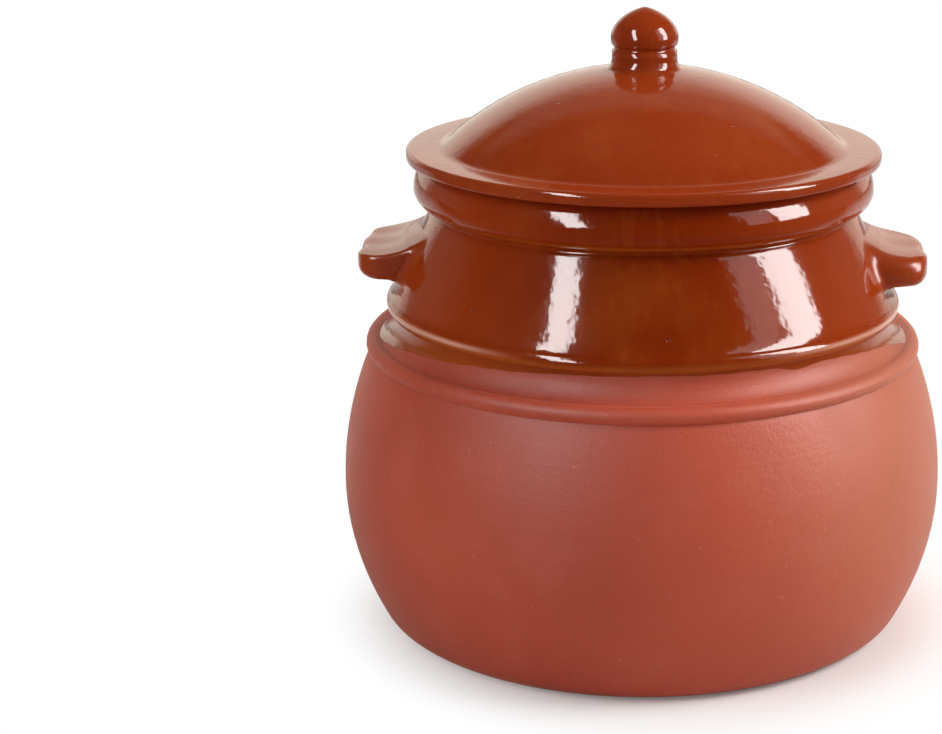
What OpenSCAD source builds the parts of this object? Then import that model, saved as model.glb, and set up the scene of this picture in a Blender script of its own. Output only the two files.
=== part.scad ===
// Red clay soup pot with a glazed neck, two lug handles and a loose domed lid.
// Millimetres, +Z up, origin at the centre of the base where it stands on the table.
// The handles lie on the X axis. Going up, each ring's radius is a step from the ring below it.

/* [Belly] */
// Diameter at the widest ring
belly_d = 255; // [230:1:300]
// Height of the widest ring above the table
belly_z = 60; // [45:1:85]
// Height from the widest ring up to the shoulder notch
belly_rise = 55; // [45:1:90]
// How far the belly draws in from the widest ring to the shoulder notch
shoulder_inset = 11.3; // [8:0.1:16]
// How square the upper belly is: 2 is round, more is fuller
belly_fullness = 2.05; // [1.8:0.05:4]
// How far the edge of the flat base lies inside the widest ring
base_inset = 24.8; // [21:0.2:34]
// Radius of the turned corner between base and belly
base_corner_r = 12; // [8:0.5:14]
// Angle that the turned corner sweeps
base_corner_sweep = 62; // [50:1:70]

/* [Shoulder] */
// Height of the notch under the shoulder bead
notch_h = 1.7; // [1:0.1:3]
// How far the shoulder bead stands out beyond the belly's top edge
bead_stand = 0.9; // [0:0.1:1.5]
// Radius of the shoulder bead
bead_r = 3.6; // [3:0.1:4.5]
// Height of the hollow cove above the bead
cove_h = 9.7; // [7:0.1:12]
// How far the foot of the neck lies inside the belly's top edge
cove_depth = 10.7; // [8:0.1:13]
// Height of the plain ring between the cove and the neck ridge
foot_ring_h = 2; // [1.6:0.1:6]
// How far the neck ridge stands out beyond the foot of the neck
ridge_stand = 2.2; // [1.5:0.1:3]
// Radius of the neck ridge
ridge_r = 3.2; // [2.8:0.1:4]

/* [Neck] */
// Height of the tapered neck
neck_h = 35; // [30:0.5:46]
// How far the neck draws in from the ridge to its top
neck_taper = 18.8; // [14:0.2:24]
// How far the neck swells beyond a straight taper
neck_swell = 0.7; // [0:0.1:3]

/* [Collar] */
// Height of the groove between the neck and the collar
collar_groove_h = 3.9; // [3:0.1:5]
// Depth of that groove
collar_groove_depth = 2.3; // [1:0.1:3]
// How far the collar's lower lip stands out beyond the top of the neck
collar_lip_stand = 2.3; // [1:0.1:4]
// How far the collar swells beyond its lower lip
collar_swell = 4.3; // [2:0.1:6]
// Height from the lower lip to the collar's widest ring
collar_rise = 6.2; // [4:0.1:9]
// Height from the widest ring to the top of the rim
collar_crown = 11.5; // [9:0.1:14]
// Width of the round outer shoulder of the rim
rim_shoulder_w = 7.4; // [5:0.1:9]
// Width of the flat land on the rim that carries the lid
rim_land_w = 2.2; // [1.5:0.1:3]
// Radius of the rim's inner edge
rim_inner_r = 2.4; // [1.5:0.1:3]

/* [Wall] */
// Thickness of the belly wall
wall = 8; // [6:0.5:9]
// Thickness of the floor
floor_t = 10; // [8:0.5:14]
// Thickness of the wall at the narrowest ring of the mouth
throat_wall = 7.2; // [5.5:0.1:8]
// Height of the rounded corner inside the floor
inner_corner_h = 22; // [16:1:26]
// Width of the rounded corner inside the floor
inner_corner_w = 26; // [16:1:34]

/* [Handles] */
// How far a handle reaches beyond the neck ridge
handle_reach = 10.8; // [6:0.2:14]
// Width of a handle where its tip starts to round off
handle_tip_w = 60; // [46:1:64]
// Width of a handle at its root, without its fillet
handle_root_w = 60; // [50:1:66]
// Thickness of a handle at its tip
handle_tip_t = 12; // [8:0.2:13]
// Height of the underside of the tip above the neck ridge's centre
handle_tip_lift = 11.8; // [8:0.2:15]
// Height of the underside of the root above the neck ridge's centre
handle_root_lift = 10.6; // [8:0.2:12]
// Distance from the top of the neck down to the top of the root, without its fillet
handle_root_drop = 11; // [8:0.2:14]
// Radius of the fillet that is smeared onto the neck
handle_fillet_r = 4.5; // [3:0.5:5]
// Depth of the finger grooves pressed into the top
finger_groove = 0.6; // [0:0.1:1.2]

/* [Lid] */
// How far the brim stands out beyond the glazed collar
brim_overhang = 2.3; // [1:0.1:6]
// Width of the brim from the foot of the dome to its edge
brim_w = 14.2; // [12:0.1:20]
// Thickness of the brim
brim_t = 4.3; // [3.5:0.1:6]
// Radius of the brim's rounded corners
brim_corner_r = 1.4; // [0.8:0.1:1.7]
// Height of the dome above the brim
dome_rise = 32.9; // [26:0.1:42]
// Thickness of the dome
dome_t = 6; // [5:0.1:7]
// Radius of the fillet between dome and brim
dome_fillet_r = 5; // [2:0.5:7]
// Height of the ring that centres the lid in the mouth
skirt_h = 7; // [4:0.5:12]
// Thickness of that ring
skirt_t = 4.4; // [3:0.1:5]

/* [Knob] */
// Diameter of the knob's foot
knob_foot_d = 34; // [31:0.5:40]
// Diameter of the knob's stem
knob_stem_d = 27; // [22:0.2:29]
// Height from the crown of the lid to the groove round the knob
knob_stem_h = 8.2; // [6:0.1:11]
// Depth of the groove round the knob
knob_groove = 0.9; // [0.5:0.1:1.2]
// Diameter of the acorn above the groove
knob_d = 28; // [24:0.2:32]
// Height of the acorn above the groove
knob_top_h = 16.6; // [13:0.1:20]

/* [Glaze] */
// Thickness of the glaze coats
glaze_t = 0.5; // [0.3:0.1:0.7]
// Height of the bare strip between the cove and the glaze line
glaze_line_up = 1.2; // [0.5:0.1:2]

/* [Fits] */
// Gap between the lid's brim and the glazed rim
seat_gap = 0.2; // [0.1:0.05:0.5]
// Gap between the lid's ring and the narrowest part of the mouth
skirt_gap = 1; // [0.6:0.1:2]

/* [Hidden] */
$fn = 128;
clay = "#a9503c";
glaze = "#8a3a14";

// Steps along a long curve, a short curve and a small bead
long_steps = 12;
mid_steps = 8;
bead_steps = 10;

// Points of an arc, an oval arc, a quadratic curve and a cubic curve in the radius and height plane
function arc(c, r, a0, a1, n) = oval_arc(c, r, r, a0, a1, n);
function oval_arc(c, w, h, a0, a1, n) =
    [for (i = [0:n]) let (a = a0 + (a1 - a0)*i/n) c + [w*cos(a), h*sin(a)]];
function curve(p, q, r, n) =
    [for (i = [0:n]) let (t = i/n) (1 - t)*(1 - t)*p + 2*t*(1 - t)*q + t*t*r];
function long_curve(p, q, r, s, n) =
    [for (i = [0:n]) let (t = i/n, k = 1 - t) k*k*k*p + 3*k*k*t*q + 3*k*t*t*r + t*t*t*s];
function part_of(list, first, last) = [for (i = [first:1:last]) list[i]];
function tail(list) = part_of(list, 1, len(list) - 1);
function reversed(list) = [for (i = [len(list) - 1:-1:0]) list[i]];
function unit(v) = v/norm(v);
function mix(a, b, t) = a + (b - a)*t;

// A path moved sideways by t, to the right of its direction of travel
function beside(path, t) = [for (i = [0:len(path) - 1])
    let (before = i > 0 ? unit(path[i] - path[i - 1]) : unit(path[1] - path[0]),
         after = i < len(path) - 1 ? unit(path[i + 1] - path[i]) : before,
         way = unit(before + after))
    path[i] + t*[way[1], -way[0]]/(way*before)];

// Belly: a turned corner, then two power curves that meet upright at the widest ring
belly_r = belly_d/2;
base_r = belly_r - base_inset;
belly_top_r = belly_r - shoulder_inset;
belly_top_z = belly_z + belly_rise;
corner_end_a = base_corner_sweep - 90;
corner_end = [base_r, base_corner_r] + base_corner_r*[cos(corner_end_a), sin(corner_end_a)];
low_rise = belly_z - corner_end[1];
low_spread = belly_r - corner_end[0];
low_power = tan(-corner_end_a)*low_rise/low_spread;
function belly_at(z) = z < belly_z
    ? belly_r - low_spread*pow((belly_z - z)/low_rise, low_power)
    : belly_r - shoulder_inset*pow((z - belly_z)/belly_rise, belly_fullness);
// Sideways run of the belly per unit of height at z
function belly_slope(z) = z < belly_z
    ? low_power*(belly_r - belly_at(z))/(belly_z - z)
    : -belly_fullness*(belly_r - belly_at(z))/(z - belly_z);
function belly_path(z0, z1, n, inset) =
    [for (i = [0:n]) let (z = mix(z0, z1, i/n)) [belly_at(z) - inset, z]];

// Shoulder: notch, bead, cove, plain ring and neck ridge
bead_low_a = -62;
bead_high_a = 125;
bead_c = [belly_top_r + bead_stand - bead_r, belly_top_z + notch_h - bead_r*sin(bead_low_a)];
cove_start = bead_c + bead_r*[cos(bead_high_a), sin(bead_high_a)];
neck_foot_r = belly_top_r - cove_depth;
cove_top_z = cove_start[1] + cove_h;
cove_sweep = 2*atan((cove_start[0] - neck_foot_r)/cove_h);
cove_r = cove_h/sin(cove_sweep);
ridge_low_a = -70;
ridge_high_a = 65;
ridge_out_r = neck_foot_r + ridge_stand;
ridge_c = [ridge_out_r - ridge_r, cove_top_z + foot_ring_h - ridge_r*sin(ridge_low_a)];
glaze_start = [neck_foot_r, cove_top_z + glaze_line_up];

// Neck: a swelling taper from the ridge to the groove under the collar
neck_low = ridge_c + ridge_r*[cos(ridge_high_a), sin(ridge_high_a)];
neck_high = [ridge_out_r - neck_taper, neck_low[1] + neck_h];
neck_dir = unit(neck_high - neck_low);
neck_mid = (neck_low + neck_high)/2 + 2*neck_swell*[neck_dir[1], -neck_dir[0]];
neck_bend = neck_low[1] - 2*neck_mid[1] + neck_high[1];
neck_lead = neck_mid[1] - neck_low[1];
// Radius of the neck at height z, from the share t of the curve that reaches z
function neck_t(z) = let (up = min(max(z, neck_low[1]), neck_high[1]) - neck_low[1])
    up/(neck_lead + sqrt(neck_lead*neck_lead + neck_bend*up));
function neck_at(z) = let (t = neck_t(z))
    (1 - t)*(1 - t)*neck_low[0] + 2*t*(1 - t)*neck_mid[0] + t*t*neck_high[0];

// Collar: groove, lower lip, swelling band, round shoulder, flat land and inner edge
bulge_out_share = 0.96;
bulge_up_share = 0.4;
lip = [neck_high[0] + collar_lip_stand, neck_high[1] + collar_groove_h];
groove_deep = [neck_high[0] - collar_groove_depth, (neck_high[1] + lip[1])/2];
collar_wide = lip + [collar_swell, collar_rise];
collar_bulge = lip + [collar_swell*bulge_out_share, collar_rise*bulge_up_share];
collar_r = collar_wide[0];
rim_z = collar_wide[1] + collar_crown;
land_out_r = collar_r - rim_shoulder_w;
land_in_r = land_out_r - rim_land_w;
mouth_r = land_in_r - rim_inner_r;

// Inside: from the mouth to the throat, down behind the neck to its foot, out to the belly, and to the floor
inner_turn_share = 0.57;
inner_lead_share = 0.55;
foot_lead_share = 0.45;
throat_lead_walls = 1.15;
throat = [neck_high[0] - collar_groove_depth/2 - throat_wall, groove_deep[1]];
mouth_low = [mouth_r, rim_z - rim_inner_r];
inner_high_z = mix(belly_z, belly_top_z, inner_turn_share);
inner_high = [belly_at(inner_high_z) - wall, inner_high_z];
inner_lead = (bead_c[1] - inner_high_z)*inner_lead_share;
inner_lead_pt = inner_high + inner_lead*[belly_slope(inner_high_z), 1];
foot_in = [neck_foot_r - wall, cove_top_z];
neck_in_z = (cove_top_z + throat[1])/2;
neck_in = [neck_at(neck_in_z) - throat_lead_walls*wall, neck_in_z];
foot_lead_pt = foot_in + foot_lead_share*(foot_in - neck_in);
inner_low_z = floor_t + inner_corner_h;
inner_low = [belly_at(inner_low_z) - wall, inner_low_z];
floor_corner = [inner_low[0] - inner_corner_h*belly_slope(inner_low_z), floor_t];
floor_edge = floor_corner - [inner_corner_w, 0];

// Clay outline in three runs: bare outside, glazed outside with the rim, and inside
bare_run = concat(
    [[0, 0]],
    arc([base_r, base_corner_r], base_corner_r, -90, corner_end_a, bead_steps),
    tail(belly_path(corner_end[1], belly_z, long_steps, 0)),
    tail(belly_path(belly_z, belly_top_z, long_steps, 0)),
    arc(bead_c, bead_r, bead_low_a, bead_high_a, bead_steps),
    tail(arc([neck_foot_r + cove_r, cove_top_z], cove_r, 180 + cove_sweep, 180, mid_steps)));
coat_run = concat(
    [glaze_start],
    arc(ridge_c, ridge_r, ridge_low_a, ridge_high_a, bead_steps),
    tail(curve(neck_low, neck_mid, neck_high, mid_steps)),
    tail(curve(neck_high, groove_deep, lip, mid_steps)),
    tail(curve(lip, collar_bulge, collar_wide, mid_steps)),
    tail(oval_arc([land_out_r, collar_wide[1]], rim_shoulder_w, collar_crown, 0, 90, mid_steps)),
    arc([land_in_r, mouth_low[1]], rim_inner_r, 90, 180, mid_steps));
inside_run = concat(
    tail(curve(mouth_low, [throat[0], (mouth_low[1] + throat[1])/2], throat, mid_steps)),
    tail(curve(throat, neck_in, foot_in, mid_steps)),
    tail(long_curve(foot_in, foot_lead_pt, inner_lead_pt, inner_high, long_steps)),
    tail(belly_path(inner_high_z, inner_low_z, long_steps, wall)),
    tail(curve(inner_low, floor_corner, floor_edge, mid_steps)),
    [[0, floor_t]]);

// Glaze coats lie on the clay and share its points
glazed_run = concat(coat_run, inside_run);
glaze_skin = beside(glazed_run, glaze_t);
coat_last = len(coat_run) - 1;
glazed_last = len(glazed_run) - 1;
function coat_outline(first, last) =
    concat(part_of(glaze_skin, first, last), reversed(part_of(glazed_run, first, last)));

// Lid: a round dome on a flat brim, with a ring below that hangs in the mouth
brim_under_a = -60;
brim_low_z = rim_z + glaze_t + seat_gap;
brim_top_z = brim_low_z + brim_t;
brim_r = collar_r + glaze_t + brim_overhang;
brim_corner_x = brim_r - brim_corner_r;
dome_foot_r = brim_r - brim_w;
dome_r = (dome_foot_r*dome_foot_r + dome_rise*dome_rise)/(2*dome_rise);
dome_c = [0, brim_top_z + dome_rise - dome_r];
fillet_c = let (z = brim_top_z + dome_fillet_r, reach = dome_r + dome_fillet_r)
    [sqrt(reach*reach - pow(z - dome_c[1], 2)), z];
fillet_a = atan2(fillet_c[1] - dome_c[1], fillet_c[0]);
knob_foot_r = knob_foot_d/2;
knob_foot_a = acos(knob_foot_r/dome_r);
skirt_r = throat[0] - glaze_t - skirt_gap;
skirt_in_r = skirt_r - skirt_t;
skirt_low_z = brim_low_z - skirt_h;
hollow_r = dome_r - dome_t;
hollow_a = acos(skirt_in_r/hollow_r);
crown_run = arc(dome_c, dome_r, 90, knob_foot_a, mid_steps);
lid_coat_run = concat(
    arc(dome_c, dome_r, knob_foot_a, fillet_a, long_steps),
    tail(arc(fillet_c, dome_fillet_r, fillet_a + 180, 270, mid_steps)),
    arc([brim_corner_x, brim_top_z - brim_corner_r], brim_corner_r, 90, 0, mid_steps),
    arc([brim_corner_x, brim_low_z + brim_corner_r], brim_corner_r, 0, brim_under_a, mid_steps));
lid_under_run = concat(
    [[brim_corner_x, brim_low_z], [skirt_r, brim_low_z]],
    arc([skirt_r - skirt_t/2, skirt_low_z + skirt_t/2], skirt_t/2, 0, -180, bead_steps),
    arc(dome_c, hollow_r, hollow_a, 90, long_steps));
lid_skin = beside(lid_coat_run, -glaze_t);

// Knob: foot on the dome, flared stem, groove and acorn
stem_wide_share = 0.55;
groove_width_ratio = 1.3;
acorn_wide_share = 0.24;
acorn_neck_share = 0.96;
acorn_taper_power = 1.4;
knob_foot_top = dome_c + dome_r*[cos(knob_foot_a), sin(knob_foot_a)] + [0, glaze_t];
crown_z = dome_c[1] + dome_r;
knob_groove_z = crown_z + knob_stem_h;
knob_stem_r = knob_stem_d/2;
groove_half = knob_groove*groove_width_ratio;
knob_r = knob_d/2;
acorn_c = [0, knob_groove_z + knob_top_h*acorn_wide_share];
acorn_up = knob_groove_z + knob_top_h - acorn_c[1];
stem_foot = [knob_stem_r, knob_foot_top[1]];
stem_wide = [knob_stem_r, crown_z + knob_stem_h*stem_wide_share];
stem_top = [knob_stem_r, knob_groove_z - groove_half];
acorn_low = [knob_r*acorn_neck_share, knob_groove_z + groove_half];
knob_run = concat(
    curve(knob_foot_top, stem_foot, stem_wide, mid_steps),
    curve(stem_top, [knob_stem_r - 2*knob_groove, knob_groove_z], acorn_low, mid_steps),
    tail(curve(acorn_low, [knob_r, knob_groove_z + 2*groove_half], [knob_r, acorn_c[1]], mid_steps)),
    [for (i = [1:long_steps - 1]) let (a = 90*i/long_steps)
        acorn_c + [knob_r*pow(cos(a), acorn_taper_power), acorn_up*sin(a)]],
    [acorn_c + [0, acorn_up]]);

// Handle: rings lofted outwards from the neck, on a squared oval section
handle_sides = 40;
section_power = 4.2;
tip_round_share = 0.6;
tip_last_share = 0.985;
plan_power = 2.4;
edge_power = 2.4;
fingers = 3;
tip_x = ridge_out_r + handle_reach;
tip_low_z = ridge_c[1] + handle_tip_lift;
root_low_z = ridge_c[1] + handle_root_lift;
root_t = neck_high[1] - handle_root_drop - root_low_z;
function oval(v) = sign(v)*pow(abs(v), 2/section_power);
function rounded(v, power) = pow(1 - pow(v, power), 1/power);
// Width, thickness and middle height of the handle a share s of the way to its tip
function tip_share(s) = max(0, (s - tip_round_share)/(1 - tip_round_share));
function half_width(s) = mix(handle_root_w, handle_tip_w, s)/2*rounded(tip_share(s), plan_power);
function thick(s) = mix(root_t, handle_tip_t, s);
function middle_z(s) = mix(root_low_z, tip_low_z, s) + thick(s)/2;
function half_thick(s) = thick(s)/2*rounded(tip_share(s), edge_power);
// Depth of the finger grooves at a place across the handle
function pressed(s, y) = finger_groove*s*(1 - cos(360*fingers*y/handle_tip_w))/2;
// One point of the section, grown all round by the fillet
function section_point(s, grow, k) =
    let (a = 360*k/handle_sides, y = (half_width(s) + grow)*oval(cos(a)))
    [y, middle_z(s) + (half_thick(s) + grow)*oval(sin(a)) - (sin(a) > 0 ? pressed(s, y) : 0)];
function neck_x(p) = sqrt(pow(neck_at(p[1]), 2) - p[0]*p[0]);
// Fillet growth at a distance d above the glazed neck
function fillet_at(d) = d >= handle_fillet_r ? 0
    : handle_fillet_r - sqrt(pow(handle_fillet_r, 2) - pow(handle_fillet_r - d, 2));
fillet_steps = 5;
root_ring = [for (k = [0:handle_sides - 1]) section_point(0, handle_fillet_r, k)];
sunk_ring = [for (p = root_ring) [neck_x(p) - handle_fillet_r, p[0], p[1]]];
function fillet_ring(i) = let (d = handle_fillet_r*(1 - cos(90*i/fillet_steps)))
    [for (k = [0:handle_sides - 1]) let (p = section_point(0, fillet_at(d), k))
        [neck_x(p) + glaze_t + d, p[0], p[1]]];
function body_ring(s) = [for (k = [0:handle_sides - 1])
    let (p = section_point(s, 0, k), x0 = neck_x(section_point(0, 0, k)) + glaze_t + handle_fillet_r)
    [mix(x0, tip_x, s) - pressed(s, p[0]), p[0], p[1]]];
body_steps = 5;
tip_steps = 7;
body_shares = [for (i = [1:body_steps]) tip_round_share*i/body_steps];
tip_shares = [for (i = [1:tip_steps]) mix(tip_round_share, tip_last_share, sin(90*i/tip_steps))];
handle_rings = concat(
    [sunk_ring],
    [for (i = [0:fillet_steps]) fillet_ring(i)],
    [for (s = body_shares) body_ring(s)],
    [for (s = tip_shares) body_ring(s)]);
function ring_centre(ring) = [for (axis = [0:2]) [for (p = ring) p[axis]]*[for (p = ring) 1]/len(ring)];

module turned(outline) rotate_extrude() polygon(outline);

// The neck and collar as one solid piece of clay, without their hollow
module neck_core() {
    turned(concat([[0, glaze_start[1]]], coat_run, [[0, mouth_low[1]]]));
}

// Rings joined by triangles, with a fan at each end
module lofted(rings) {
    n = len(rings[0]);
    last = len(rings) - 1;
    points = concat([for (ring = rings) each ring],
                    [ring_centre(rings[0]), ring_centre(rings[last])]);
    low = (last + 1)*n;
    high = low + 1;
    sides = [for (i = [0:last - 1]) for (k = [0:n - 1]) let (q = (k + 1) % n)
        each [[i*n + k, (i + 1)*n + k, (i + 1)*n + q], [i*n + k, (i + 1)*n + q, i*n + q]]];
    ends = [for (k = [0:n - 1]) let (q = (k + 1) % n)
        each [[low, k, q], [high, last*n + q, last*n + k]]];
    polyhedron(points, concat(sides, ends));
}

module handle() {
    difference() {
        lofted(handle_rings);
        neck_core();
    }
}

// Space that a handle's root takes in the neck's glaze
module handle_window() {
    rotate([90, 0, 90]) linear_extrude(tip_x) polygon(root_ring);
}

module both_sides() {
    children();
    mirror([1, 0, 0]) children();
}

module pot_body() {
    color(clay) turned(concat(bare_run, coat_run, inside_run));
}

module inner_glaze() {
    color(glaze) turned(coat_outline(coat_last, glazed_last));
}

module neck_glaze() {
    color(glaze) difference() {
        turned(coat_outline(0, coat_last));
        both_sides() handle_window();
    }
}

module left_handle() {
    color(glaze) mirror([1, 0, 0]) handle();
}

module right_handle() {
    color(glaze) handle();
}

module lid_shell() {
    color(clay) turned(concat(crown_run, tail(lid_coat_run), lid_under_run));
}

module lid_glaze() {
    color(glaze) turned(concat(lid_skin, reversed(lid_coat_run)));
}

module lid_knob() {
    color(glaze) turned(concat(crown_run, knob_run));
}

pot_body();
inner_glaze();
neck_glaze();
left_handle();
right_handle();
lid_shell();
lid_glaze();
lid_knob();
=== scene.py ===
import math

import bpy
from mathutils import Matrix, Vector


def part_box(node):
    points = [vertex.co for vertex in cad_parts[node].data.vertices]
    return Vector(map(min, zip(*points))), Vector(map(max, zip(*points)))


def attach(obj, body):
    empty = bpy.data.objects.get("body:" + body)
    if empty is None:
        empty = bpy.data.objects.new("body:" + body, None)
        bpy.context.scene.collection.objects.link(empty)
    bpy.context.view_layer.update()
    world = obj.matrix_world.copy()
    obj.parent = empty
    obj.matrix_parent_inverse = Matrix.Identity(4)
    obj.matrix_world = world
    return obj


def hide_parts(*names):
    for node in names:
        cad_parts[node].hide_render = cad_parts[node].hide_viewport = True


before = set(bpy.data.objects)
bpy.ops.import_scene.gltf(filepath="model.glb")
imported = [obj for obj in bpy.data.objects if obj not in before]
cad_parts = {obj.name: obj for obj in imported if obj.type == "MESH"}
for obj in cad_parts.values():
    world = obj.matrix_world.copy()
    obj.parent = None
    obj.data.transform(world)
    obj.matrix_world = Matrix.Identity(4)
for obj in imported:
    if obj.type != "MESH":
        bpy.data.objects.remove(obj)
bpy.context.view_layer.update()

# The vessel
# Thrown on the wheel from red earthenware, then trimmed and left bare below the glaze line.
# Belly, shoulder bead, cove, neck and rolled collar are one piece of fired clay, so one outline is turned.
turn_steps = 240
turned_crease = math.radians(32)
# Points closer to each other than the first gap are one, and closer to the axis than the second lie on it
weld_gap = 1e-6
axis_gap = 1e-5


def take_alone(piece):
    """Leaves every other object unselected, so that the next operators act on this piece only."""
    bpy.ops.object.select_all(action="DESELECT")
    piece.select_set(True)
    bpy.context.view_layer.objects.active = piece
    return piece


def turned_piece(name, node):
    """Cuts a copy of a solid through its axis and turns the half outline once round, as on the wheel.

    The first cut puts a point on the axis, so that a flat base or floor closes in its middle.
    """
    piece = bpy.data.objects.new(name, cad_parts[node].data.copy())
    bpy.context.collection.objects.link(piece)
    take_alone(piece)
    piece.data.materials.clear()
    bpy.ops.object.mode_set(mode="EDIT")
    bpy.ops.mesh.select_all(action="SELECT")
    bpy.ops.mesh.remove_doubles(threshold=weld_gap)
    bpy.ops.mesh.bisect(plane_co=(0, 0, 0), plane_no=(0, 1, 0), threshold=weld_gap)
    bpy.ops.mesh.select_all(action="SELECT")
    bpy.ops.mesh.bisect(plane_co=(0, 0, 0), plane_no=(1, 0, 0), threshold=weld_gap,
                        clear_inner=True, clear_outer=True)
    bpy.ops.mesh.select_all(action="DESELECT")
    bpy.ops.object.mode_set(mode="OBJECT")
    for vertex in piece.data.vertices:
        vertex.select = vertex.co.y > axis_gap
    bpy.ops.object.mode_set(mode="EDIT")
    bpy.ops.mesh.delete(type="VERT")
    bpy.ops.object.mode_set(mode="OBJECT")
    turn = piece.modifiers.new("turn", "SCREW")
    turn.steps = turn_steps
    turn.render_steps = turn_steps
    turn.use_merge_vertices = True
    turn.merge_threshold = axis_gap
    bpy.ops.object.modifier_apply(modifier=turn.name)
    bpy.ops.object.mode_set(mode="EDIT")
    bpy.ops.mesh.select_all(action="SELECT")
    bpy.ops.mesh.remove_doubles(threshold=weld_gap)
    bpy.ops.mesh.normals_make_consistent(inside=False)
    bpy.ops.object.mode_set(mode="OBJECT")
    bpy.ops.object.shade_smooth_by_angle(angle=turned_crease)
    return piece


class Wire:
    """A value in a material: sums on it add Math nodes, and node() adds any other node."""

    def __init__(self, tree, socket=None):
        self.tree = tree
        self.socket = socket

    def node(self, kind, settings, sockets, output=0):
        """Adds a node, sets its settings, then its sockets, and gives back one of its outputs."""
        made = self.tree.nodes.new(kind)
        for key, value in settings.items():
            setattr(made, key, value)
        for key, value in sockets.items():
            if isinstance(value, Wire):
                self.tree.links.new(value.socket, made.inputs[key])
            elif isinstance(value, tuple) and made.inputs[key].type == "RGBA":
                made.inputs[key].default_value = (*value, 1)
            else:
                made.inputs[key].default_value = value
        return Wire(self.tree, made.outputs[output]) if made.outputs else None

    def math(self, operation, *values):
        """A Math node on wires or numbers."""
        return self.node("ShaderNodeMath", {"operation": operation}, dict(enumerate(values)))

    def __add__(self, other):
        return self.math("ADD", self, other)

    def __radd__(self, other):
        return self.math("ADD", other, self)

    def __sub__(self, other):
        return self.math("SUBTRACT", self, other)

    def __rsub__(self, other):
        return self.math("SUBTRACT", other, self)

    def __mul__(self, other):
        return self.math("MULTIPLY", self, other)

    def __rmul__(self, other):
        return self.math("MULTIPLY", other, self)

    def part(self, axis):
        """The X, Y or Z part of a vector."""
        return self.node("ShaderNodeSeparateXYZ", {}, {"Vector": self}, axis)

    def above(self, low, high):
        """0 below low, 1 above high, and smooth between."""
        return self.node("ShaderNodeMapRange", {"interpolation_type": "SMOOTHSTEP"},
                         {"Value": self, "From Min": low, "From Max": high})

    def noise(self, place, scale, detail, stretch=(1, 1, 1)):
        """Cloudy noise with about scale clouds to a metre, times stretch along each axis."""
        stretched = self.node("ShaderNodeVectorMath", {"operation": "MULTIPLY"}, {0: place, 1: stretch})
        return self.node("ShaderNodeTexNoise", {}, {"Vector": stretched, "Scale": scale, "Detail": detail})

    def blend(self, factor, first, second):
        """From the first colour to the second, which are sockets 6 and 7 of a Mix node."""
        return self.node("ShaderNodeMix", {"data_type": "RGBA"}, {0: factor, 6: first, 7: second}, 2)

    def relief(self, height, depth, under=None):
        """A bump of that depth in metres, on top of another one."""
        sockets = {"Height": height, "Distance": depth, "Strength": 1.0}
        if under:
            sockets["Normal"] = under
        return self.node("ShaderNodeBump", {}, sockets)


def new_finish(name):
    """An empty material, its first wire and the wire that gives the place on the piece in metres."""
    finish = bpy.data.materials.new(name)
    finish.use_nodes = True
    finish.node_tree.nodes.clear()
    paint = Wire(finish.node_tree)
    return finish, paint, paint.node("ShaderNodeTexCoord", {}, {}, "Object")


def finish_with(paint, sockets):
    """Closes a material with its shader."""
    shader = paint.node("ShaderNodeBsdfPrincipled", {}, sockets)
    paint.node("ShaderNodeOutputMaterial", {}, {"Surface": shader})


def bare_clay_finish():
    """Unglazed red earthenware: fire blotches, turning lines, fine grit, and a painted sheen that makes the
    right side paler above the foot.
    """
    deep_red = (0.43, 0.050, 0.018)
    warm_red = (0.49, 0.066, 0.027)
    flame_red = (0.52, 0.066, 0.022)
    dusty_pink = (0.50, 0.105, 0.060)
    line_brown = (0.38, 0.055, 0.026)
    speck_buff = (0.60, 0.25, 0.16)
    # Pale tone of the painted sheen on the right side
    painted_sheen_buff = (0.50, 0.165, 0.088)
    sheen_pink = (1.0, 0.72, 0.60)
    line_depth = 0.00010
    pore_depth = 0.00015
    grit_depth = 0.00010
    finish, paint, place = new_finish("bare_red_clay")
    blotch = paint.noise(place, 11, 3).above(0.35, 0.68)
    flame = paint.noise(place, 7, 2, (1, 1, 0.6)).above(0.45, 0.70)
    dust = paint.noise(place, 40, 4).above(0.5, 0.78)
    turning = paint.noise(place, 1, 4, (3, 3, 420))
    grit = paint.noise(place, 1500, 2)
    pores = paint.noise(place, 420, 3)
    speck = paint.noise(place, 330, 1).above(0.75, 0.8)
    # Painted sheen: the right side is painted paler above the foot, where the light falls on it
    painted_sheen = place.part("X").above(0.02, 0.12)*place.part("Z").above(-0.02, 0.07)
    red = paint.blend(blotch, deep_red, warm_red)
    red = paint.blend(flame*0.5, red, flame_red)
    red = paint.blend(dust*0.25, red, dusty_pink)
    red = paint.blend(turning.above(0.5, 0.8)*0.15, red, line_brown)
    red = paint.blend(speck*0.25, red, speck_buff)
    red = paint.blend(painted_sheen*0.62, red, painted_sheen_buff)
    body = paint.relief(turning, line_depth)
    body = paint.relief(pores, pore_depth, body)
    body = paint.relief(grit, grit_depth, body)
    finish_with(paint, {"Base Color": red, "Roughness": 0.50 + 0.10*dust, "Normal": body,
                        "Specular IOR Level": 0.42, "Sheen Weight": 0.25, "Sheen Roughness": 0.4,
                        "Sheen Tint": sheen_pink})
    return finish


bare_clay = bare_clay_finish()
vessel = turned_piece("clay_vessel", "pot_body")
vessel.data.materials.append(bare_clay)
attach(vessel, "pot")
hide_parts("pot_body")

# Inside glaze
# A coat of honey glaze that was poured in, swilled round and tipped out, then fired onto the clay.
# It covers the whole inside, from the floor up to the mouth.
inside_deep = (0.21, 0.021, 0.0015)
inside_thin = (0.34, 0.065, 0.010)
inside_wave = 0.0004


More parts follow.
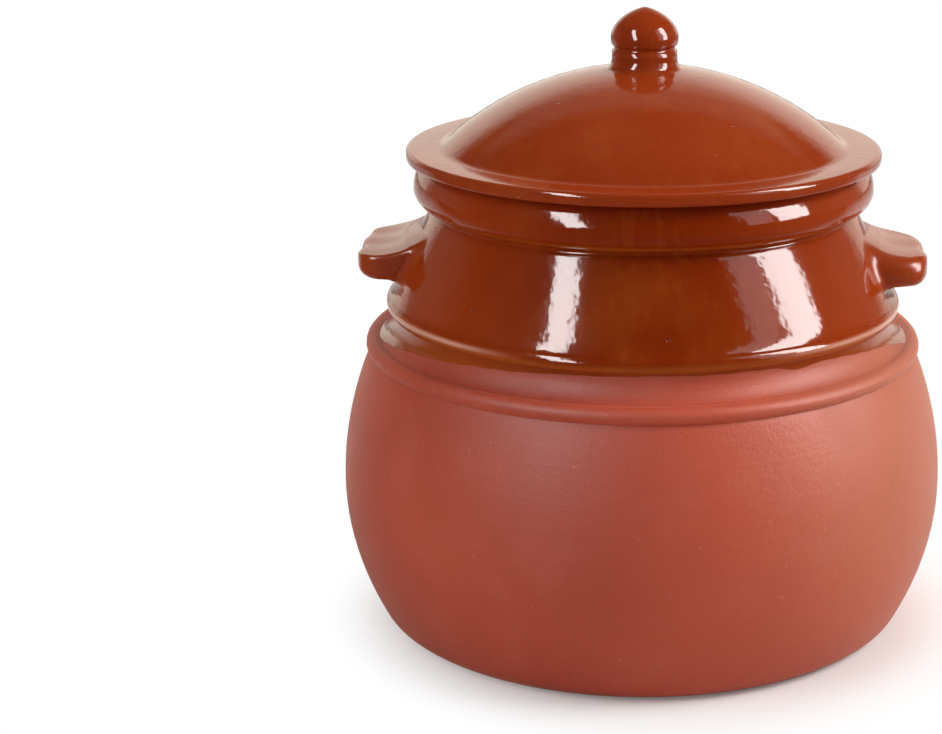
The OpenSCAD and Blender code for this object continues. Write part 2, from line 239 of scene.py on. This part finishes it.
def honey_glaze_finish(name, deep, thin, wave, rough=0.06, tones_and_painted_light=None):
    """Clear brown glaze over red clay, cloudy and streaked from deep to thin, with a few pinholes.

    Its skin waves by the depth wave, in metres. Where given, tones_and_painted_light adds the tones of one
    coat alone and any light painted on them.
    """
    pinhole_brown = (0.10, 0.012, 0.002)
    pinhole_depth = 0.0003
    ripple_depth = 0.00006
    finish, paint, place = new_finish(name)
    cloud = paint.noise(place, 26, 4)
    run = paint.noise(place, 1, 3, (70, 70, 12))
    streak = paint.noise(place, 1, 2, (240, 240, 14))
    brown = paint.blend(cloud.above(0.45, 0.75)*0.3, deep, thin)
    brown = paint.blend(run.above(0.52, 0.74)*0.25, brown, thin)
    brown = paint.blend(streak.above(0.55, 0.75)*0.20, brown, thin)
    if tones_and_painted_light:
        brown = tones_and_painted_light(paint, place, cloud, brown)
    cells = paint.node("ShaderNodeTexVoronoi", {}, {"Vector": place, "Scale": 62.0}, "Distance")
    pinhole = 1 - cells.above(0.018, 0.045)
    brown = paint.blend(pinhole*0.5, brown, pinhole_brown)
    skin = paint.relief(paint.noise(place, 38, 2), wave)
    skin = paint.relief(paint.noise(place, 130, 2), 0.25*wave, skin)
    skin = paint.relief(paint.noise(place, 260, 2), ripple_depth, skin)
    skin = paint.relief(1 - pinhole, pinhole_depth, skin)
    finish_with(paint, {"Base Color": brown, "Roughness": rough + 0.06*cloud, "Normal": skin, "IOR": 1.5})
    return finish


inside_coat = turned_piece("inside_glaze_coat", "inner_glaze")
inside_glaze = honey_glaze_finish("inside_honey_glaze", inside_deep, inside_thin, inside_wave)
inside_coat.data.materials.append(inside_glaze)
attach(inside_coat, "pot")
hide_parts("inner_glaze")

# Neck glaze
# The pot was dipped neck first, so this coat covers rim, collar and neck and stops in a ragged line. The
# line lies just under the ridge in front, sags into the cove below both lugs and has one short run.
neck_deep = (0.205, 0.019, 0.0008)
neck_thin = (0.34, 0.072, 0.008)
# Painted light: a lighter tone for the neck beside the lugs, where light falls on its sides
painted_light_beside_lugs = (0.300, 0.036, 0.004)
neck_wave = 0.0003
# Heights at which the glaze runs thin all round, each with its reach up and down
thin_bands = ((0.1358, 0.0030), (0.1280, 0.0085), (0.1795, 0.0016))
# The ridge's top, where a pale reflection is painted on the glaze beside the lugs
ridge_z = 0.1380
ridge_reach = 0.0016
painted_ridge_reflection = (0.72, 0.37, 0.27)


def neck_tones_and_painted_light(paint, place, cloud, brown):
    """The neck's tones: thin in bands, with painted light that makes it lighter beside the lugs and a
    painted reflection that makes parts of the ridge pale.
    """
    height = place.part("Z")
    aside = paint.math("ABSOLUTE", place.part("X"))
    patchy = 0.35 + 0.8*cloud
    # Painted light: lighter towards the sides, beside the lugs
    brown = paint.blend(aside.above(0.015, 0.085), brown, painted_light_beside_lugs)
    for level, reach in thin_bands:
        off = paint.math("ABSOLUTE", height - level)
        brown = paint.blend((1 - off.above(0, reach))*patchy, brown, neck_thin)
    # Painted reflection: parts of the ridge beside the lugs are painted pale
    off = paint.math("ABSOLUTE", height - ridge_z)
    near_lugs = aside.above(0.045, 0.080)
    return paint.blend((1 - off.above(0, ridge_reach))*patchy*near_lugs, brown, painted_ridge_reflection)


neck_coat = turned_piece("neck_glaze_coat", "neck_glaze")
neck_glaze = honey_glaze_finish("neck_honey_glaze", neck_deep, neck_thin, neck_wave, tones_and_painted_light=neck_tones_and_painted_light)
neck_coat.data.materials.append(neck_glaze)
# The glaze line: its height in front, its sag below the lugs, its run and its ragged edge
line_z = 0.1333
sag_depth = 0.0104
sag_full = 80
left_sag_power = 1.6
right_sag_power = 3.3
run_azimuth = 35
run_spread = 3.5
run_length = 0.0016
coarse_ragged = 0.00012
coarse_waves = 17
coarse_start = 20
fine_ragged = 0.00010
fine_waves = 53


def glaze_end(azimuth):
    """Height at which the glaze stops, by the azimuth in degrees from the camera's side to the right."""
    from_middle = min(abs(azimuth), 180 - abs(azimuth))
    sag_power = left_sag_power if azimuth < 0 else right_sag_power
    sag = sag_depth*min(1, from_middle/sag_full)**sag_power
    run = run_length*math.exp(-((azimuth - run_azimuth)/run_spread)**2)
    coarse = coarse_ragged*math.sin(math.radians(coarse_waves*azimuth + coarse_start))
    fine = fine_ragged*math.sin(math.radians(fine_waves*azimuth))
    return line_z - sag - run + coarse + fine


# The tail of the coat: its foot is drawn down in fine rings, which are then laid along the hollow cove
neck_foot_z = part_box("neck_glaze")[0][2]
foot_reach = 0.0005
facing_down = -0.5
tail_rings = 10
tail_step = 0.0001
# Share of the tail from which points are moved, and the share of its skin that it loses to its end
tail_start = 0.05
tail_thinning = 0.6
# The clay under the tail: its radius above the cove, and the cove's top and hollow
clay_r = 0.1055
cove_top_z = 0.1325
cove_r = 0.0109
take_alone(neck_coat)
bpy.ops.object.mode_set(mode="EDIT")
bpy.ops.mesh.select_mode(type="FACE")
bpy.ops.mesh.select_all(action="DESELECT")
bpy.ops.object.mode_set(mode="OBJECT")
for face in neck_coat.data.polygons:
    face.select = face.normal.z < facing_down and face.center.z < neck_foot_z + foot_reach
bpy.ops.object.mode_set(mode="EDIT")
for ring in range(tail_rings):
    bpy.ops.mesh.extrude_region_move(TRANSFORM_OT_translate={"value": (0, 0, -tail_step)})
bpy.ops.mesh.select_mode(type="VERT")
bpy.ops.object.mode_set(mode="OBJECT")
for vertex in neck_coat.data.vertices:
    share = (neck_foot_z - vertex.co.z)/(tail_rings*tail_step)
    if share > tail_start:
        azimuth = math.degrees(math.atan2(vertex.co.x, -vertex.co.y))
        vertex.co.z = neck_foot_z + share*(glaze_end(azimuth) - neck_foot_z)
        below = max(0, cove_top_z - vertex.co.z)
        radius = math.hypot(vertex.co.x, vertex.co.y)
        skin = (radius - clay_r)*(1 - tail_thinning*share)
        wider = (clay_r + skin + cove_r - math.sqrt(cove_r*cove_r - below*below))/radius
        vertex.co.x *= wider
        vertex.co.y *= wider
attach(neck_coat, "pot")
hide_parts("neck_glaze")

# Lug handles
# Two thick tongues of clay, pressed between the fingers, luted to the neck and smeared on with a thumb,
# so the root spreads into the neck. They are dipped with the neck, and are glazed all over.
lug_deep = (0.310, 0.038, 0.004)
lug_thin = (0.38, 0.078, 0.011)
lug_wave = 0.0002
lug_rough = 0.20
lug_glaze = honey_glaze_finish("lug_honey_glaze", lug_deep, lug_thin, lug_wave, lug_rough)
lug_crease = math.radians(35)
tip_margin = 0.0002
lug_tip_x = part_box("right_handle")[1][0] - tip_margin
# Rings along a lug, and points round its corners, its top and underside, and its sides
fillet_rings = 12
body_rings = 48
corner_steps = 12
flat_steps = 40
edge_steps = 6
# How deep the first ring is sunk in the neck, and the others at the root
sunk_depth = 0.003
seat_depth = 0.00002
# How fast the root thins out, and how fast the neck's curve fades along the tongue
root_fade = 1.6
neck_fade = 1.5
# Shares of the fillet that go to the top, the underside, the lower edges and the upper edges
top_smear = 0.6
under_smear = 0.5
low_edge_smear = 0.7
high_edge_smear = 0.8
# The most that a rolled edge takes of the room that it has
most_roll = 0.9
# The neck's front outline between the heights that the lugs take up
lug_band_low_z = 0.1440
lug_band_high_z = 0.1750
facing_front = -0.3
neck_line = sorted((vertex.co.copy() for vertex in neck_coat.data.vertices
                    if abs(vertex.co.x) < axis_gap and vertex.co.y < 0 and vertex.normal.y < facing_front
                    and lug_band_low_z < vertex.co.z < lug_band_high_z),
                   key=lambda place: place.z)


def neck_x(y, z):
    """How far the glazed neck stands out along X at a place, between the rings of its front outline."""
    z = min(max(z, neck_line[0].z), neck_line[-1].z)
    for low, high in zip(neck_line, neck_line[1:]):
        if z <= high.z:
            radius = -low.y - (z - low.z)/(high.z - low.z)*(high.y - low.y)
            return math.sqrt(radius*radius - y*y)


def rounded(share, power):
    """Height of a rounded end: 1 at its start, 0 at its tip."""
    return max(0, 1 - max(0, share)**power)**(1/power)


def section_points(front, back, low, high, low_r, high_r, slant):
    """Points round a box with rolled edges, as across and up. Its sides face up by the slant in radians."""
    low_z = low + low_r
    high_z = high - high_r
    inset = low_r + (math.sin(slant)*(high_z - low_z) - low_r + high_r)/math.cos(slant)
    quarter = math.pi/2
    corners = ((back - inset, high_z, high_r, slant, quarter),
               (front + inset, high_z, high_r, quarter, math.pi - slant),
               (front + low_r, low_z, low_r, math.pi - slant, 3*quarter),
               (back - low_r, low_z, low_r, 3*quarter, 4*quarter + slant))
    arcs = []
    for y, z, radius, first, last in corners:
        sweep = [first + (last - first)*step/corner_steps for step in range(corner_steps + 1)]
        arcs.append([Vector((y + radius*math.cos(angle), z + radius*math.sin(angle))) for angle in sweep])
    points = []
    for turn, arc in enumerate(arcs):
        reach = arcs[(turn + 1) % 4][0] - arc[-1]
        steps = flat_steps if turn % 2 == 0 else edge_steps
        points += arc + [arc[-1] + reach*step/steps for step in range(1, steps)]
    return points


def lug_section(lug, x, grow, slope):
    """Section of a lug at x, grown all round by the fillet and thicker by the slope of its root."""
    reach = (x - lug["round_x"])/(lug_tip_x - lug["round_x"])
    front = lug["front"]*rounded(reach, lug["front_plan"])*(1 + lug["flare"]*reach) - grow
    back = lug["back"]*rounded(reach, lug["back_plan"]) + grow
    high_end = (x - lug_tip_x)/lug["high_roll"] + 1
    low_end = (x - lug_tip_x)/lug["low_roll"] + 1
    high = lug["high"] + lug["root_rise"]*slope + top_smear*grow
    high -= lug["high_roll"]*(1 - rounded(high_end, 2))
    low = lug["low"] - lug["root_drop"]*slope - under_smear*grow
    low += lug["low_roll"]*(1 - rounded(low_end, 2))
    low_room = most_roll*min(-front, back, (high - low)/2)
    low_r = min(lug["low_r"] + low_edge_smear*grow, low_room)
    high_room = most_roll*min(-front, back, high - low - low_r)
    high_r = min(lug["high_r"] + high_edge_smear*grow + lug["root_roll"]*slope, high_room)
    slant = lug["slant"]*min(1, low_room/lug["low_r"])
    return section_points(front, back, low, high, low_r, high_r, slant)


def lug_ring(lug, ring):
    """Points of one ring. Ring 0 is sunk in the neck, then comes the smeared fillet, then the tongue."""
    fillet = lug["fillet"]
    sweep = math.radians(90*min(max(0, ring - 1)/fillet_rings, 1))
    off = fillet*(1 - math.cos(sweep))
    grow = fillet - math.sqrt(fillet**2 - (fillet - off)**2)
    share = 1 - (1 - max(0, ring - 1 - fillet_rings)/body_rings)**2
    along = share*(lug_tip_x - lug["start_x"])
    x = lug["start_x"] + along
    slope = max(0, 1 - (off + along)/lug["slope_reach"])**root_fade
    near = (1 - share)**neck_fade
    sunk = sunk_depth if ring == 0 else seat_depth
    placed = []
    for y, z in lug_section(lug, x, grow, slope):
        finger = (1 - math.cos(2*math.pi*(y - lug["finger_y"])/lug["finger_w"]))/2
        pressed = finger*share*max(0, (z - lug["low"])/(lug["high"] - lug["low"]))**2
        root_x = neck_x(y, z) + off - sunk
        tongue_x = x - lug["scallop"]*pressed
        placed.append(Vector((near*root_x + (1 - near)*tongue_x, y, z - lug["groove"]*pressed)))
    return placed


def lug_handle(name, side, lug):
    """A net from -1 to 1, rolled up so that each of its rows becomes a ring of the lug, then closed."""
    rings = fillet_rings + body_rings + 2
    sides = len(lug_ring(lug, 0))
    bpy.ops.mesh.primitive_grid_add(x_subdivisions=sides, y_subdivisions=rings - 1, size=2)
    piece = take_alone(bpy.context.object)
    piece.name = name
    placed = [lug_ring(lug, ring) for ring in range(rings)]
    for vertex in piece.data.vertices:
        step = round((vertex.co.x + 1)/2*sides) % sides
        ring = round((vertex.co.y + 1)/2*(rings - 1))
        place = placed[ring][step]
        vertex.co = (side*place.x, place.y, place.z)
    bpy.ops.object.mode_set(mode="EDIT")
    bpy.ops.mesh.select_all(action="SELECT")
    bpy.ops.mesh.remove_doubles(threshold=weld_gap)
    bpy.ops.mesh.select_all(action="DESELECT")
    bpy.ops.mesh.select_non_manifold()
    bpy.ops.mesh.edge_face_add()
    bpy.ops.mesh.select_all(action="SELECT")
    bpy.ops.mesh.normals_make_consistent(inside=False)
    bpy.ops.object.mode_set(mode="OBJECT")
    bpy.ops.object.shade_smooth_by_angle(angle=lug_crease)
    piece.data.materials.append(lug_glaze)
    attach(piece, "pot")
    return piece


# What both lugs share. Across a lug, front is negative and back is positive.
both_lugs = {
    "start_x": 0.1010,       # about where the tongue leaves the fillet
    "round_x": 0.1000,       # where its corners start to round, in plan
    "back": 0.0300,          # its back side
    "back_plan": 2.6,        # how square the back corner is, in plan
    "low_r": 0.0046,         # roll of the lower edges
    "slope_reach": 0.0170,   # length over which the root thins out
}
left_shape = {
    "front": -0.0285,        # its front side
    "front_plan": 7.0,       # how square the front corner is, in plan
    "flare": 0.06,           # share by which the front widens towards the tip
    "low": 0.1502,           # height of the underside
    "high": 0.1613,          # height of the top
    "high_r": 0.0016,        # roll of the upper edges
    "slant": -0.14,          # how far the sides face up, in radians
    "low_roll": 0.0070,      # roll of the tip from below
    "high_roll": 0.0024,     # roll of the tip from above
    "fillet": 0.0045,        # radius of the smear round the root
    "root_rise": 0.0055,     # how much higher the top is at the root
    "root_drop": 0.0016,     # how much lower the underside is there
    "root_roll": 0.0015,     # how much more the upper edges roll there
    "finger_y": 0.0010,      # place of a crest between two finger grooves
    "finger_w": 0.0200,      # width of a finger groove
    "groove": 0.00025,       # depth of the grooves in the top
    "scallop": 0.0012,       # depth of the grooves in the tip
}
right_shape = {
    "front": -0.0318,
    "front_plan": 5.0,
    "flare": 0.0,
    "low": 0.1492,
    "high": 0.1612,
    "high_r": 0.0062,
    "slant": 0.0,
    "low_roll": 0.0056,
    "high_roll": 0.0030,
    "fillet": 0.0040,
    "root_rise": 0.0050,
    "root_drop": 0.0012,
    "root_roll": 0.0060,
    "finger_y": 0.0040,
    "finger_w": 0.0210,
    "groove": 0.0002,
    "scallop": 0.0007,
}
left_lug = lug_handle("left_lug", -1, {**both_lugs, **left_shape})
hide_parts("left_handle")
right_lug = lug_handle("right_lug", 1, {**both_lugs, **right_shape})
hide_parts("right_handle")

# Lid
# Thrown from the same clay as a shallow bowl and turned over: a dome with a flat brim, and a low ring
# underneath that keeps it in the mouth. It lies loose on the rim, and its underside stays bare.
lid_clay = turned_piece("lid_clay", "lid_shell")
lid_clay.data.materials.append(bare_clay)
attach(lid_clay, "lid")
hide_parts("lid_shell")

# Lid glaze
# The same honey glaze, poured over the top of the lid and run round the edge of its brim.
# It is wiped off under the brim before firing.
lid_deep = (0.275, 0.033, 0.0055)
lid_thin = (0.37, 0.075, 0.015)
lid_wave = 0.00010
lid_coat = turned_piece("lid_glaze_coat", "lid_glaze")
lid_glaze = honey_glaze_finish("lid_honey_glaze", lid_deep, lid_thin, lid_wave)
lid_coat.data.materials.append(lid_glaze)
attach(lid_coat, "lid")
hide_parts("lid_glaze")

# Knob
# An acorn shape turned from red clay and luted to the crown of the lid.
# It is glazed all over, in one go with the lid.
knob = turned_piece("acorn_knob", "lid_knob")
knob.data.materials.append(lid_glaze)
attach(knob, "lid")
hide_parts("lid_knob")

# Table
# A matt white table top that fades to plain white round the pot, so that only the shadow at its foot shows.
# The glaze mirrors the table as dark in front of the pot and at its sides, and as pale behind it.
table_size = 8.0
fade_centre = (0.016, -0.004, 0)
fade_start_r = 0.10
fade_end_r = 0.155
card_white = (0.86, 0.86, 0.86)
card_glow = 0.11
dark_card = (0.06, 0.06, 0.06)
dark_until_y = -0.25
pale_from_y = 0.05
dark_edge_slope = 0.6
bpy.ops.mesh.primitive_plane_add(size=table_size, location=(0, 0, 0))
table = bpy.context.object
table.name = "table"
table_finish, paint, place = new_finish("white_table")
moved = paint.node("ShaderNodeVectorMath", {"operation": "SUBTRACT"}, {0: place, 1: fade_centre})
from_centre = paint.node("ShaderNodeVectorMath", {"operation": "LENGTH"}, {0: moved}, "Value")
aside = paint.math("ABSOLUTE", place.part("X"))
ahead = 1 - (place.part("Y") - dark_edge_slope*aside).above(dark_until_y, pale_from_y)
seen = paint.node("ShaderNodeLightPath", {}, {}, "Is Camera Ray")
mirrored = paint.node("ShaderNodeLightPath", {}, {}, "Is Glossy Ray")
white = paint.node("ShaderNodeEmission", {}, {"Color": (1, 1, 1), "Strength": seen})
card = paint.node("ShaderNodeBsdfDiffuse", {}, {"Color": card_white})
glow = paint.node("ShaderNodeEmission", {}, {"Color": (1, 1, 1), "Strength": seen*card_glow})
near = paint.node("ShaderNodeAddShader", {}, {0: card, 1: glow})
dark = paint.node("ShaderNodeBsdfDiffuse", {}, {"Color": dark_card})
near = paint.node("ShaderNodeMixShader", {}, {0: mirrored*ahead, 1: near, 2: dark})
faded = from_centre.above(fade_start_r, fade_end_r)*seen
mixed = paint.node("ShaderNodeMixShader", {}, {0: faded, 1: near, 2: white})
paint.node("ShaderNodeOutputMaterial", {}, {"Surface": mixed})
table.data.materials.append(table_finish)

# Lights
# Soft boxes round the pot, as for a plain catalogue picture. Three only show as shapes in the glaze.
# The other three give the plain light, mostly from the right, and show in nothing.
lamp_aim = Vector((0, 0, 0.16))


def soft_light(name, azimuth, elevation, distance, width, height, radiance, mirrored, lean=0):
    """A soft box that faces the pot. Azimuth runs from the camera's side to the right, in degrees."""
    turned = math.radians(azimuth)
    raised = math.radians(elevation)
    level = math.cos(raised)
    towards = Vector((math.sin(turned)*level, -math.cos(turned)*level, math.sin(raised)))
    bpy.ops.object.light_add(type="AREA", location=lamp_aim + distance*towards)
    lamp = bpy.context.object
    lamp.name = name
    aimed = towards.to_track_quat("Z", "Y").to_matrix() @ Matrix.Rotation(math.radians(lean), 3, "Z")
    lamp.rotation_euler = aimed.to_euler()
    lamp.data.shape = "RECTANGLE"
    lamp.data.size = width
    lamp.data.size_y = height
    lamp.data.energy = radiance*width*height*math.pi
    lamp.visible_glossy = mirrored
    lamp.visible_diffuse = not mirrored


soft_light("right_strip", azimuth=76, elevation=28, distance=1.1,
           width=0.34, height=0.95, radiance=16, mirrored=True)
soft_light("right_panel", azimuth=56, elevation=28, distance=1.1,
           width=0.26, height=0.95, radiance=1.6, mirrored=True)
soft_light("left_strip", azimuth=-38.5, elevation=28, distance=1.1,
           width=0.20, height=0.95, radiance=17, mirrored=True, lean=20)
soft_light("right_key", azimuth=80, elevation=34, distance=1.6,
           width=0.8, height=0.8, radiance=10.0, mirrored=False)
soft_light("left_fill", azimuth=-58, elevation=30, distance=2.0,
           width=1.6, height=1.6, radiance=1.9, mirrored=False)
soft_light("top_light", azimuth=170, elevation=66, distance=1.6,
           width=1.2, height=1.2, radiance=2.4, mirrored=False)

# Background
# Plain white to the camera, and a weak even light on what is matt.
# The glaze mirrors it as a warm wall behind the pot, bright low down and veiled round it, in a dim room.
even_light = 0.26
room_level = 0.03
low_veil_level = 0.17
high_veil_level = 0.25
warm_white = (1, 0.93, 0.80)
world = bpy.data.worlds.new("white_studio")
bpy.context.scene.world = world
world.use_nodes = True
world.node_tree.nodes.clear()
sky = Wire(world.node_tree)
towards = sky.node("ShaderNodeTexCoord", {}, {}, "Generated")
depth = towards.part("Y")
up = towards.part("Z")
low_wall = depth.above(0.64, 0.80)*(1 - up.above(0.15, 0.40))
mid_wall = depth.above(0.72, 0.86)*(1 - up.above(0.35, 0.75))
low_veil = low_veil_level*depth.above(-0.1, 0.35)*(1 - up.above(0.25, 0.50))
high_veil = high_veil_level*depth.above(0.52, 0.66)*up.above(0.5, 0.6)
wall = sky.math("MAXIMUM", low_wall, mid_wall) + low_veil + high_veil + room_level
seen = sky.node("ShaderNodeLightPath", {}, {}, "Is Camera Ray")
mirrored = sky.node("ShaderNodeLightPath", {}, {}, "Is Glossy Ray")
level = seen + mirrored*wall + (1 - seen - mirrored)*even_light
tone = sky.blend(seen, warm_white, (1, 1, 1))
shine = sky.node("ShaderNodeBackground", {}, {"Color": tone, "Strength": level})
sky.node("ShaderNodeOutputWorld", {}, {"Surface": shine})

# Camera
# Far off and a little above, as for a catalogue picture, and rolled by less than half a degree.
# The pot stands right of the middle of the picture, so the lens is shifted.
picture_w = 942
picture_middle_px = (471.0, 367.0)
axis_px = (642.5, 352.0)
focal_px = 2313.3
sensor_w = 36.0
camera_place = (0, -0.950, 0.3893)
look_down = math.radians(16.256)
roll = math.radians(0.4)
camera_data = bpy.data.cameras.new("camera")
camera = bpy.data.objects.new("camera", camera_data)
bpy.context.collection.objects.link(camera)
camera_data.sensor_width = sensor_w
camera_data.lens = sensor_w*focal_px/picture_w
camera_data.shift_x = (picture_middle_px[0] - axis_px[0])/picture_w
camera_data.shift_y = (axis_px[1] - picture_middle_px[1])/picture_w
camera.location = camera_place
aimed = Matrix.Rotation(math.pi/2 - look_down, 4, "X") @ Matrix.Rotation(roll, 4, "Z")
camera.rotation_euler = aimed.to_euler()
bpy.context.scene.camera = camera
bpy.context.scene.view_settings.view_transform = "Standard"
